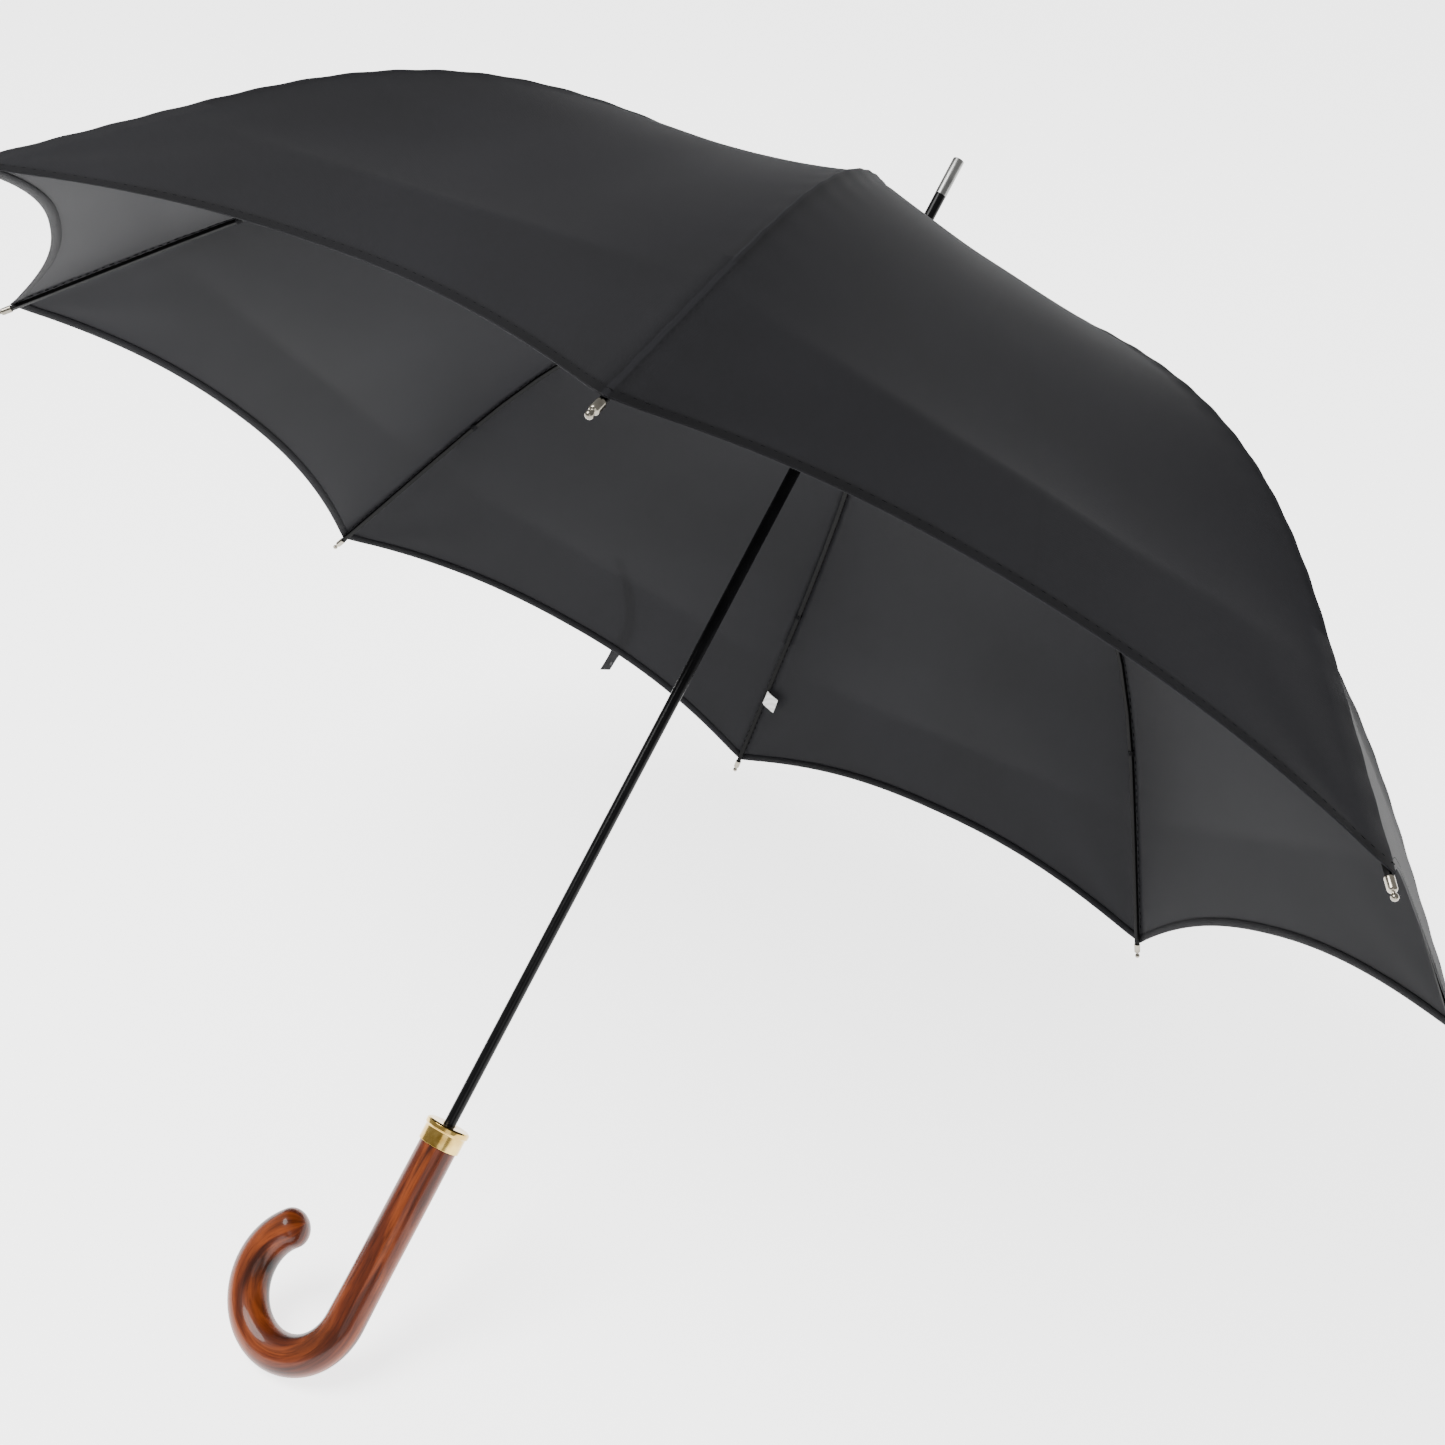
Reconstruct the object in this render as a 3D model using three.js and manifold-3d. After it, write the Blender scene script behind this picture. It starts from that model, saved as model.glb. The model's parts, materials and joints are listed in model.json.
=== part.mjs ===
// Stick umbrella, open, lying on the crook of its handle and on two of its rib tips.
// Lengths are millimetres. The umbrella is modelled upright in its own group: its shaft runs
// along local Z, the crown hinges lie in the plane z = 0, the spike points to +Z and the
// handle to -Z. Local +X is the side that faces the floor once the umbrella is laid down.
import * as THREE from 'three';
import { mergeVertices } from 'three/addons/utils/BufferGeometryUtils.js';
import Module from 'manifold-3d';

const wasm = await Module();
wasm.setup();

// ---- Driving dimensions ----
const ribCount = 8;
const ribLength = 594;          // crown hinge to the fabric's corner, along the rib
const crownSlope = 15.7;        // degrees below level where a rib leaves the crown
const tipSlope = 48.7;          // degrees below level at the rib tips
const bendStart = 0.263;        // share of the rib where it starts to bend
const bendEnd = 0.825;          // share of the rib where it is straight again
const ribWidth = 3.2;
const ribHeight = 2.4;
const ribWall = 0.5;
const rivetPlace = 0.385;       // share of the rib where the stretcher is riveted on
const rivetDrop = 3.6;          // rivet below the middle of the rib
const closedTipRadius = 24;     // rib tips to shaft axis with the umbrella shut

const bladeThickness = 1.2;     // flattened end of a rib or stretcher
const bladeLength = 13;
const bladeOverlap = 2;         // blade inside the channel it is pressed from
const eyeRadius = 1.5;
const wireRadius = 0.35;
const hubWall = 0.6;            // hub left between its bore and the foot of a slot
const hubHeight = 4.7;
const hubTop = 1.5;             // top of a notched ring above its hinges

const stretcherWidth = 3.0;
const stretcherHeight = 2.2;
const cheekThickness = 0.7;
const cheekRadius = 1.8;
const forkLength = 9;
const forkRoot = 4;             // solid end of the fork
const tabThickness = 1.0;
const tabRadius = 2;
const tabHalfLength = 5;        // half the tab's width where it meets the rib
const weldSink = 0.2;           // how deep a welded edge sinks into its rib
const rivetRadius = 0.6;
const rivetHeadRadius = 1.3;
const rivetHead = 0.4;

const shaftRadius = 3.7;
const shaftWall = 0.6;
const spikeLength = 64;         // crown hinges to the flat end of the spike
const ferruleLength = 26;       // bright end piece of the spike
const ferrulePlug = 14;         // its stem inside the shaft
const collarTop = 617;          // crown hinges to the top of the collar
const collarHeight = 14;
const collarStep = 0.8;         // collar standing out beyond the wood
const collarFlare = 1.0;        // rim standing out beyond the collar
const collarRimHeight = 3.2;
const tangLength = 34;          // shaft inside the handle

const handleRadius = 12.2;
const handleStraight = 115.5;     // collar to the start of the crook
const crookRadius = 38;         // centreline of the crook
const crookArc = 226;           // degrees

const runnerWall = 0.7;
const runnerSleeve = 24;        // runner tube below its hinges
const catchThickness = 0.8;
const catchReach = 1.8;         // nose of a catch outside the shaft
const catchNose = 6;
const catchLength = 20;
const catchInner = 0.5;         // long edge of a catch beside the shaft axis
const catchAzimuth = Math.PI / 4;

const tipCup = 12;              // metal cup beyond the fabric's corner
const tipCupRadius = 2.8;
const tipBallRadius = 2.4;
const tipNeckRadius = 1.1;
const tipEndWall = 0.5;
const ribInCup = 6;

const clothThickness = 0.8;
const clothGap = 1.9;           // fabric above the top of a rib
const clothSag = 0.63;          // how far a gore dips between its ribs, 1 for a taut soap film
const hemScallop = 0.06;        // how far the hem curves in, as a share of the rib
const hemPower = 2.28;
const neckOverlap = 0.6;        // fabric inside the hinge circle at the crown
const capSkirt = 3.1;           // top cap beyond the shaft, at its foot and at its top
const capNeck = 1.3;
const capEdge = 0.6;
const capHeight = 3;

const strapWidth = 10;
const strapStart = 0.80;        // where the tie strap is sewn on, share of the rib
const strapFree = 17;           // strap beyond the hem
const strapSide = -0.26;        // place across its gore, -1 and 1 at the ribs
const labelPlace = 0.885;
const labelSize = 13;
const labelThickness = 0.7;

const play = 0.3;               // gap left between pieces that touch or run in each other

// ---- Helpers ----
const radians = THREE.MathUtils.degToRad;

function material(name, color, roughness, metalness) {
  return new THREE.MeshStandardMaterial({ name, color, roughness, metalness });
}

const blackSteel = material('black_steel', 0x151515, 0.25, 0.6);
const nickel = material('nickel', 0xc8c6c0, 0.25, 1);
const brass = material('brass', 0xc9a860, 0.3, 1);
const wood = material('handle_wood', 0x7a3f22, 0.35, 0);
const cloth = material('canopy_cloth', 0x2f2f33, 0.85, 0);
const blackPlastic = material('black_plastic', 0x1a1a1a, 0.45, 0);
const labelTape = material('label_tape', 0xf0f0ee, 0.8, 0);

function toSolid(geometry) {
  const bare = geometry.clone();
  bare.deleteAttribute('normal');
  bare.deleteAttribute('uv');
  const merged = mergeVertices(bare, 1e-4);
  return new wasm.Manifold(new wasm.Mesh({
    numProp: 3,
    vertProperties: new Float32Array(merged.attributes.position.array),
    triVerts: new Uint32Array(merged.index.array),
  }));
}

function toGeometry(solid) {
  const mesh = solid.getMesh();
  const geometry = new THREE.BufferGeometry();
  geometry.setAttribute('position', new THREE.BufferAttribute(new Float32Array(mesh.vertProperties), 3));
  geometry.setIndex(new THREE.BufferAttribute(new Uint32Array(mesh.triVerts), 1));
  geometry.computeVertexNormals();
  return geometry;
}

function join(first, ...others) {
  return toGeometry(others.reduce((sum, g) => sum.add(toSolid(g)), toSolid(first)));
}

function cut(first, ...tools) {
  return toGeometry(tools.reduce((rest, g) => rest.subtract(toSolid(g)), toSolid(first)));
}

// A ring or disc about Z from its section, a closed loop of [radius, z] going up the outside.
function turned(section, segments) {
  const points = [...section, section[0]].map(([r, z]) => new THREE.Vector2(r, z));
  return new THREE.LatheGeometry(points, segments).rotateX(Math.PI / 2);
}

function tube(inner, outer, low, high, segments) {
  return turned([[inner, low], [outer, low], [outer, high], [inner, high]], segments);
}

// A plate in the XZ plane, centred on y, from an outline of [x, z] points and round holes.
function plate(outline, thickness, holes = [], dy = 0) {
  const shape = new THREE.Shape(outline.map(([x, z]) => new THREE.Vector2(x, z)));
  for (const [x, z, r] of holes) {
    const hole = new THREE.Path();
    hole.absarc(x, z, r, 0, 2 * Math.PI, true);
    shape.holes.push(hole);
  }
  const settings = { depth: thickness, bevelEnabled: false, curveSegments: 3 };
  const geometry = new THREE.ExtrudeGeometry(shape, settings);
  return geometry.translate(0, 0, -thickness / 2).rotateX(Math.PI / 2).translate(0, dy, 0);
}

function block(sx, sy, sz, x, y, z) {
  return new THREE.BoxGeometry(sx, sy, sz).translate(x, y, z);
}

// Points of an arc in a plate's outline, in degrees.
function arc(x, z, r, from, to, steps = 4) {
  return Array.from({ length: steps + 1 }, (_, i) => {
    const a = radians(from + (to - from) * i / steps);
    return [x + r * Math.cos(a), z + r * Math.sin(a)];
  });
}

// A box whose points are moved by a rule from u in -1..1, v in 0..1 and w in 0..1.
function bentBox(nu, nv, rule) {
  const geometry = new THREE.BoxGeometry(2, 1, 1, nu, nv, 1).translate(0, 0.5, 0.5);
  const place = geometry.attributes.position;
  for (let i = 0; i < place.count; i += 1) {
    const point = rule(-place.getX(i), place.getY(i), place.getZ(i));
    place.setXYZ(i, point.x, point.y, point.z);
  }
  // The two broad faces split their quads along the same diagonal, so a thin sheet keeps its wall.
  const { start, count } = geometry.groups[5];
  const corners = geometry.index.array;
  for (let i = start; i < start + count; i += 6) {
    const [a, b, d, , c] = corners.slice(i, i + 6);
    corners.set([a, b, c, a, c, d], i);
  }
  return geometry;
}

// ---- Crown and runner sizes that follow from the shaft's ----
const shaftBore = shaftRadius - shaftWall;
const runBore = shaftRadius + play;
const runnerTubeRadius = runBore + runnerWall;
const slotRoot = runnerTubeRadius + play + hubWall;
const hingeRadius = slotRoot + 2 * play + eyeRadius;    // hinge eyes to the shaft axis
const hubRadius = hingeRadius + eyeRadius + play;
const slotWidth = bladeThickness + 2 * play;

// ---- The rib's curve, in its own XZ plane ----
function ribSlope(s) {
  const t = THREE.MathUtils.clamp((s / ribLength - bendStart) / (bendEnd - bendStart), 0, 1);
  return radians(crownSlope + (tipSlope - crownSlope) * t * t * (3 - 2 * t));
}

function ribCurvature(s) {
  const span = (bendEnd - bendStart) * ribLength;
  const t = THREE.MathUtils.clamp((s - bendStart * ribLength) / span, 0, 1);
  return radians(tipSlope - crownSlope) * 6 * t * (1 - t) / span;
}

function ribPoint(s) {
  const steps = 24;
  const ds = s / steps;
  const point = new THREE.Vector2(hingeRadius, 0);
  for (let i = 0; i < steps; i += 1) {
    const slope = ribSlope((i + 0.5) * ds);
    point.x += Math.cos(slope) * ds;
    point.y -= Math.sin(slope) * ds;
  }
  return point;
}

// A point beside the rib's curve, offset outward along its normal.
function besideRib(s, offset) {
  const slope = ribSlope(s);
  const point = ribPoint(s);
  return new THREE.Vector2(point.x + offset * Math.sin(slope), point.y + offset * Math.cos(slope));
}

class RibCurve extends THREE.Curve {
  constructor(from, to) {
    super();
    this.from = from;
    this.to = to;
  }

  getPoint(t, target = new THREE.Vector3()) {
    const point = ribPoint(this.from + (this.to - this.from) * t);
    return target.set(point.x, 0, point.y);
  }
}

// ---- Places that follow from the dimensions ----
const sector = 2 * Math.PI / ribCount;
const ribAzimuth = (k) => (k - 0.5) * sector;
const rivetPoint = besideRib(rivetPlace * ribLength, -rivetDrop);
const linkLength = rivetPoint.distanceTo(new THREE.Vector2(hingeRadius, 0));
const runnerOpen = 2 * rivetPoint.y;
const cupEnd = ribLength + tipCup;
const tipPoint = besideRib(cupEnd - tipBallRadius, 0);
const clothUnder = ribHeight / 2 + clothGap;

// How far a rib turns about its crown hinge until its tip is down beside the shaft.
const tipAngle = Math.atan2(tipPoint.x - hingeRadius, -tipPoint.y);
const tipReach = tipPoint.distanceTo(new THREE.Vector2(hingeRadius, 0));
const ribTurn = tipAngle - Math.asin((closedTipRadius - hingeRadius) / tipReach);
const linkAngle = Math.atan2(rivetPoint.x - hingeRadius, -rivetPoint.y);
const runnerShut = -2 * linkLength * Math.cos(linkAngle - ribTurn);
const topCatchPlace = runnerOpen - runnerSleeve - play - catchNose / 2;
const bottomCatchPlace = runnerShut - runnerSleeve + catchNose;

// ---- Shaft, spike and handle ----
function makeShaft() {
  const low = -collarTop - collarHeight - tangLength;
  const high = spikeLength - ferruleLength - play;
  const windowAt = (z) => block(2 * shaftRadius, catchThickness + 2 * play, catchNose + 4 * play, 0, 0, 0)
    .translate(shaftRadius, 0, z).rotateZ(catchAzimuth);
  const body = tube(shaftBore, shaftRadius, low, high, 24);
  return cut(body, windowAt(topCatchPlace), windowAt(bottomCatchPlace));
}

function makeFerrule() {
  const low = spikeLength - ferruleLength;
  const edge = 0.6;
  const outer = shaftRadius + 0.1;
  return turned([
    [0, low - ferrulePlug], [shaftBore - play, low - ferrulePlug], [shaftBore - play, low],
    [outer, low], [outer, spikeLength - edge], [outer - edge, spikeLength], [0, spikeLength],
  ], 20);
}

function makeTopCap() {
  const seat = (clothUnder + clothThickness) / Math.cos(radians(crownSlope)) + neckOverlap;
  return turned([
    [runBore, seat], [runBore + capSkirt - play, seat - capEdge], [runBore + capSkirt, seat + capEdge],
    [runBore + capNeck, seat + capHeight - capEdge], [runBore, seat + capHeight],
  ], 20);
}

function makeCollar() {
  const low = -collarTop - collarHeight;
  const collarRadius = handleRadius + collarStep;
  const collarRim = collarRadius + collarFlare;
  const step = 0.8;
  const rimLow = -collarTop - collarRimHeight;
  return turned([
    [runBore, low], [collarRadius, low], [collarRadius, rimLow - step], [collarRim, rimLow],
    [collarRim, -collarTop - step], [collarRim - 2 * step, -collarTop], [runBore, -collarTop],
  ], 28);
}

class CrookCurve extends THREE.Curve {
  getPoint(t, target = new THREE.Vector3()) {
    const bend = radians(crookArc) * crookRadius;
    const run = t * (handleStraight + bend);
    const top = -collarTop - collarHeight - play;
    if (run <= handleStraight) return target.set(0, 0, top - run);
    const a = (run - handleStraight) / crookRadius;
    return target.set(0, crookRadius * (1 - Math.cos(a)), top - handleStraight - crookRadius * Math.sin(a));
  }
}

function makeHandle() {
  const curve = new CrookCurve();
  const section = new THREE.Shape();
  section.absarc(0, 0, handleRadius, 0, 2 * Math.PI, false);
  const bar = new THREE.ExtrudeGeometry(section, { steps: 26, extrudePath: curve, curveSegments: 7 });
  const end = curve.getPoint(1);
  const knob = new THREE.SphereGeometry(handleRadius - play / 2, 12, 8).translate(end.x, end.y, end.z);
  const top = curve.getPoint(0).z;
  const bore = tube(0, runBore, top - tangLength - play, top + 1, 20);
  return cut(join(bar, knob), bore);
}

// ---- Crown and runner ----
function notchedHub(bore) {
  const hub = tube(bore, hubRadius, hubTop - hubHeight, hubTop, 24);
  const slotLength = hubRadius;
  const slots = Array.from({ length: ribCount }, (_, i) => {
    const x = slotRoot + slotLength / 2;
    return block(slotLength, slotWidth, 3 * hubHeight, x, 0, 0).rotateZ(ribAzimuth(i + 1));
  });
  return [hub, slots];
}

function makeCrown() {
  const [hub, slots] = notchedHub(runBore);
  const grooveHalf = wireRadius + play;
  const groove = tube(hingeRadius - grooveHalf, hubRadius + 1, -grooveHalf, grooveHalf, 24);
  return cut(hub, ...slots, groove);
}

function makeCrownWire() {
  return new THREE.TorusGeometry(hingeRadius, wireRadius, 5, 24);
}

const keyWidth = catchThickness + 2 * play;

function makeRunnerRing() {
  const [hub, slots] = notchedHub(runnerTubeRadius + play);
  const reach = shaftRadius + catchReach + play;
  const key = block(reach, keyWidth, 3 * hubHeight, reach / 2, 0, 0).rotateZ(catchAzimuth);
  return cut(hub, ...slots, key);
}

function makeRunnerTube() {
  const body = tube(runBore, runnerTubeRadius, -runnerSleeve, hubTop + 3, 24);
  const key = block(hubRadius, keyWidth, 3 * runnerSleeve, hubRadius / 2, 0, 0).rotateZ(catchAzimuth);
  return cut(body, key);
}

// A flat spring wedge: its long edge lies in the shaft's bore and its nose stands out.
function makeCatch(slopeUp) {
  const root = shaftBore - play;
  const tip = shaftRadius + catchReach;
  const half = catchLength / 2;
  const nose = catchNose / 2;
  const outline = [
    [catchInner, -half], [root, -half], [root, -nose], [tip, -nose], [tip, -nose / 3], [root, nose],
    [root, half], [catchInner, half],
  ].map(([x, z]) => [x, slopeUp ? z : -z]);
  return plate(outline, catchThickness).rotateZ(catchAzimuth);
}

// ---- Ribs, stretchers, rivets and tips ----
function channelAlong(curve, steps) {
  const w = ribWidth / 2;
  const h = ribHeight / 2;
  const section = new THREE.Shape([
    [w, h], [-w, h], [-w, -h], [ribWall - w, -h], [ribWall - w, h - ribWall],
    [w - ribWall, h - ribWall], [w - ribWall, -h], [w, -h],
  ].map(([y, z]) => new THREE.Vector2(y, z)));
  return new THREE.ExtrudeGeometry(section, { steps, extrudePath: curve });
}

// The flattened end with its eye, along +X from the eye at the origin.
function eyeBlade(length, hole) {
  const half = stretcherHeight / 2 - 0.1;
  const outline = [...arc(0, 0, eyeRadius, 60, 300), [length, -half], [length, half]];
  return plate(outline, bladeThickness, [[0, 0, hole]]);
}

function makeRib() {
  const channel = channelAlong(new RibCurve(bladeLength - bladeOverlap, ribLength + ribInCup), 15);
  const blade = eyeBlade(bladeLength, wireRadius + play)
    .rotateY(radians(crownSlope)).translate(hingeRadius, 0, 0);
  const seat = rivetPlace * ribLength;
  const foot = [-tabHalfLength, tabHalfLength].map((d) => besideRib(seat + d, -weldSink));
  const tab = plate([
    ...arc(rivetPoint.x, rivetPoint.y, tabRadius, 200, 340), [foot[1].x, foot[1].y], [foot[0].x, foot[0].y],
  ], tabThickness, [[rivetPoint.x, rivetPoint.y, rivetRadius + play]]);
  return join(channel, blade, tab);
}

function makeStretcher() {
  const barStart = bladeLength - bladeOverlap;
  const barEnd = linkLength - forkLength + bladeOverlap;
  const bar = block(barEnd - barStart, stretcherWidth, stretcherHeight, (barStart + barEnd) / 2, 0, 0);
  const half = stretcherHeight / 2;
  const cheekY = tabThickness / 2 + play + cheekThickness / 2;
  const cheeks = [-cheekY, cheekY].map((y) => plate([
    [linkLength - forkLength, -half],
    ...arc(linkLength, 0, cheekRadius, -90, 90),
    [linkLength - forkLength, half],
  ], cheekThickness, [[linkLength, 0, rivetRadius + play]], y));
  const gapCentre = linkLength - forkLength / 2 + forkRoot;
  const gap = block(forkLength, tabThickness + 2 * play, 3 * half, gapCentre, 0, 0);
  return cut(join(bar, eyeBlade(bladeLength, wireRadius + play), ...cheeks), gap);
}

function makeRivet() {
  const half = tabThickness / 2 + cheekThickness + 2 * play;
  const end = half + rivetHead;
  return turned([
    [0, -end], [rivetHeadRadius, -end], [rivetHeadRadius, -half], [rivetRadius, -half],
    [rivetRadius, half], [rivetHeadRadius, half], [rivetHeadRadius, end], [0, end],
  ], 6).rotateX(Math.PI / 2);
}

// The cup on a rib's end, along +Z: a bored sleeve, a neck and a ball.
function makeTipCup() {
  const bore = Math.hypot(ribWidth, ribHeight) / 2 + play;
  const sleeve = ribInCup + 1;
  const ballFrom = tipCup - 2 * tipBallRadius;
  const ball = arc(0, tipCup - tipBallRadius, tipBallRadius, -45, 90, 3)
    .map(([r, z]) => [Math.max(r, 0), z]);
  return turned([
    [0, sleeve - tipEndWall], [bore, sleeve - tipEndWall], [bore, play],
    [tipCupRadius, play], [tipCupRadius, sleeve],
    [tipNeckRadius, sleeve + 1], [tipNeckRadius, ballFrom + 1], ...ball,
  ], 8);
}

// ---- Canopy, strap and label ----
// A point of the canopy: u across the gore from rib to rib, s along the rib, lift outward.
function clothPoint(u, s, lift) {
  const half = sector / 2;
  const seam = s < 0
    ? besideRib(0, lift).add(new THREE.Vector2(s * Math.cos(ribSlope(0)), -s * Math.sin(ribSlope(0))))
    : besideRib(s, lift);
  const slope = ribSlope(Math.max(s, 0));
  const normal = new THREE.Vector2(Math.sin(slope), Math.cos(slope) * Math.cos(half)).normalize();
  const halfWidth = seam.x * Math.sin(half);
  const dip = clothSag * ribCurvature(s) * halfWidth * halfWidth / 2 * (1 - u * u);
  return new THREE.Vector3(
    seam.x * Math.cos(half) - dip * normal.x, u * (halfWidth - play / 2), seam.y - dip * normal.y);
}

function hemAt(u) {
  return ribLength * (1 - hemScallop * (1 - Math.abs(u) ** hemPower));
}

function makeGore() {
  return bentBox(4, 12, (u, v, w) => {
    const s = -neckOverlap + v * (hemAt(u) + neckOverlap);
    return clothPoint(u, s, clothUnder + w * clothThickness);
  });
}

function makeStrap() {
  const end = hemAt(strapSide) + strapFree;
  const lift = clothUnder + clothThickness + 2 * play;
  return bentBox(1, 8, (u, v, w) => {
    const s = strapStart * ribLength + v * (end - strapStart * ribLength);
    const width = clothPoint(1, s, lift).y;
    return clothPoint(strapSide + u * strapWidth / 2 / width, s, lift + w * clothThickness);
  });
}

function makeLabel() {
  const slope = ribSlope(labelPlace * ribLength);
  const place = besideRib(labelPlace * ribLength, -ribHeight / 2 - 2 * play - labelThickness / 2);
  return block(labelSize, labelSize, labelThickness, 0, 0, 0)
    .rotateY(slope).translate(place.x, -ribWidth - labelSize / 4, place.y);
}

// ---- Assembly ----
const umbrella = new THREE.Group();

function add(name, geometry, finish, parent = umbrella) {
  const mesh = new THREE.Mesh(geometry, finish);
  mesh.name = name;
  parent.add(mesh);
  return mesh;
}

add('shaft', makeShaft(), blackSteel);
add('spike_ferrule', makeFerrule(), nickel);
add('crown', makeCrown(), blackPlastic);
add('crown_wire', makeCrownWire(), nickel);
add('top_cap', makeTopCap(), blackPlastic);
add('collar', makeCollar(), brass);
add('crook_handle', makeHandle(), wood);
add('top_catch', makeCatch(false), nickel).position.z = topCatchPlace;
add('bottom_catch', makeCatch(true), nickel).position.z = bottomCatchPlace;
add('runner_ring', makeRunnerRing(), blackPlastic).position.z = runnerOpen;
add('runner_tube', makeRunnerTube(), nickel).position.z = runnerOpen;

const ribGeometry = makeRib();
const stretcherGeometry = makeStretcher();
const rivetGeometry = makeRivet();
const tipGeometry = makeTipCup();
const goreGeometry = makeGore();
const tipSeat = ribPoint(ribLength);

for (let k = 1; k <= ribCount; k += 1) {
  const spoke = new THREE.Group();
  spoke.rotation.z = ribAzimuth(k);
  umbrella.add(spoke);
  add(`rib_${k}`, ribGeometry, blackSteel, spoke);
  add(`rib_rivet_${k}`, rivetGeometry, nickel, spoke).position.set(rivetPoint.x, 0, rivetPoint.y);
  const stretcher = add(`stretcher_${k}`, stretcherGeometry, blackSteel, spoke);
  stretcher.position.set(hingeRadius, 0, runnerOpen);
  stretcher.rotation.y = linkAngle - Math.PI / 2;
  const tip = add(`rib_tip_${k}`, tipGeometry, nickel, spoke);
  tip.position.set(tipSeat.x, 0, tipSeat.y);
  tip.rotation.y = ribSlope(ribLength) + Math.PI / 2;
  add(`gore_${k}`, goreGeometry, cloth).rotation.z = k * sector;
}

add('tie_strap', makeStrap(), cloth).rotation.z = sector;
add('care_label', makeLabel(), labelTape).rotation.z = ribAzimuth(1);

// ---- Laying it down: two rib tips and the bottom of the crook touch the floor ----
const crookBottom = -collarTop - collarHeight - play - handleStraight - crookRadius;
const rise = tipPoint.y - crookBottom;
const reach = tipPoint.x * Math.cos(sector / 2);
const shaftElevation = Math.atan2(reach, rise)
  + Math.asin((tipBallRadius - handleRadius) / Math.hypot(reach, rise));
umbrella.rotation.y = Math.PI / 2 - shaftElevation;

const group = new THREE.Group();
group.add(umbrella);
group.updateMatrixWorld(true);
const bounds = new THREE.Box3().setFromObject(group, true);
const middle = bounds.getCenter(new THREE.Vector3());
umbrella.position.set(-middle.x, -middle.y, -bounds.min.z);

export default group;
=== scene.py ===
import json
import math

import bmesh
import bpy
from mathutils import Matrix, Vector, noise


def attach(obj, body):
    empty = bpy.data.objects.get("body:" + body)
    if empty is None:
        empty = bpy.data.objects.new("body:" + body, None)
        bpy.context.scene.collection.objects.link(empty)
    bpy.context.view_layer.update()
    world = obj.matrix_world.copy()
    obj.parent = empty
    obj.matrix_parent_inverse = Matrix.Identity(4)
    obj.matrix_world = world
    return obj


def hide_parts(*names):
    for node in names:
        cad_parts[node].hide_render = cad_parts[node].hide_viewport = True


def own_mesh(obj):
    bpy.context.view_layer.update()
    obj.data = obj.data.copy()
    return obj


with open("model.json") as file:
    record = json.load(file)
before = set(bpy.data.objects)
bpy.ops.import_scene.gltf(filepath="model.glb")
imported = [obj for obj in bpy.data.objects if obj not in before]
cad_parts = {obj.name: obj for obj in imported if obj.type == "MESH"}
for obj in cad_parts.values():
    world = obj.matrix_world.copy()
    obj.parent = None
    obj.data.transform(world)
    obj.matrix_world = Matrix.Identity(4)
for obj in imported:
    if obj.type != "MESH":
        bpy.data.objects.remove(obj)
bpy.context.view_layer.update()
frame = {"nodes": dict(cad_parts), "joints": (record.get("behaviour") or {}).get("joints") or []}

# ---- Where the umbrella lies ----
# The umbrella rests on its crook and two rib tips. Everything below is placed from its own
# axes: x towards the floor side, y across, z along the shaft to the spike, from the crown hinges.
MM = 0.001
RIBS = 8
SECTOR = 2 * math.pi / RIBS

joint = {j["name"]: j for j in frame["joints"]}
hinge = {k: Vector(joint[f"rib_{k}_hinge"]["pos_m"]) for k in range(1, RIBS + 1)}
crown = sum(hinge.values(), Vector()) / RIBS
hinge_radius = (hinge[1] - crown).length / MM
to_spike = -Vector(joint["runner_slide"]["axis"]).normalized()
to_floor = (hinge[1] + hinge[RIBS] - 2 * crown).normalized()
across = to_spike.cross(to_floor)
laid = Matrix((to_floor, across, to_spike)).transposed().to_4x4()
laid.translation = crown


def place(x, y, z):
    """A point in the umbrella's own millimetres, in the row frame in metres."""
    return laid @ (Vector((x, y, z)) * MM)


def along_shaft(node):
    """Lowest and highest place of a CAD node along the shaft, in millimetres from the crown."""
    back = laid.inverted()
    spots = [(back @ v.co).z / MM for v in frame["nodes"][node].data.vertices]
    return min(spots), max(spots)


# ---- Camera, light and floor ----
# A plain pale studio: a wide soft key from the upper left, a weak fill, a pale floor.
# The camera looks down by about 34 degrees from the handle's side, past the shaft and in under
# the near edge of the open canopy.
camera_data = bpy.data.cameras.new("camera")
camera_data.lens = 49.4
camera_data.sensor_width = 36
camera_data.clip_end = 50
camera = bpy.data.objects.new("camera", camera_data)
bpy.context.scene.collection.objects.link(camera)
bpy.context.scene.camera = camera
eye = place(-1041.8, -626.2, -455.1)
look = (laid.to_3x3() @ Vector((0.86584, 0.48890, 0.10628))).normalized()
right = (laid.to_3x3() @ Vector((0.39246, -0.79544, 0.46179))).normalized()
up = right.cross(look).normalized()
camera.matrix_world = Matrix.Translation(eye) @ Matrix((right, up, -look)).transposed().to_4x4()


def area_light(name, spot, target, size, power):
    data = bpy.data.lights.new(name, "AREA")
    data.shape = "DISK"
    data.size = size
    data.energy = power
    lamp = bpy.data.objects.new(name, data)
    bpy.context.scene.collection.objects.link(lamp)
    lamp.location = spot
    lamp.rotation_euler = (Vector(target) - Vector(spot)).to_track_quat("-Z", "Y").to_euler()


area_light("key", (-1.3, 1.0, 3.1), (0, 0, 0.3), 2.0, 150)
area_light("fill", (-2.2, -2.0, 1.4), (0, 0, 0.4), 1.6, 12)


def to_linear(hex_colour):
    """sRGB hex to linear RGBA."""
    parts = [int(hex_colour[i:i + 2], 16) / 255 for i in (1, 3, 5)]
    return [c / 12.92 if c <= 0.04045 else ((c + 0.055) / 1.055) ** 2.4 for c in parts] + [1]


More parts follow.
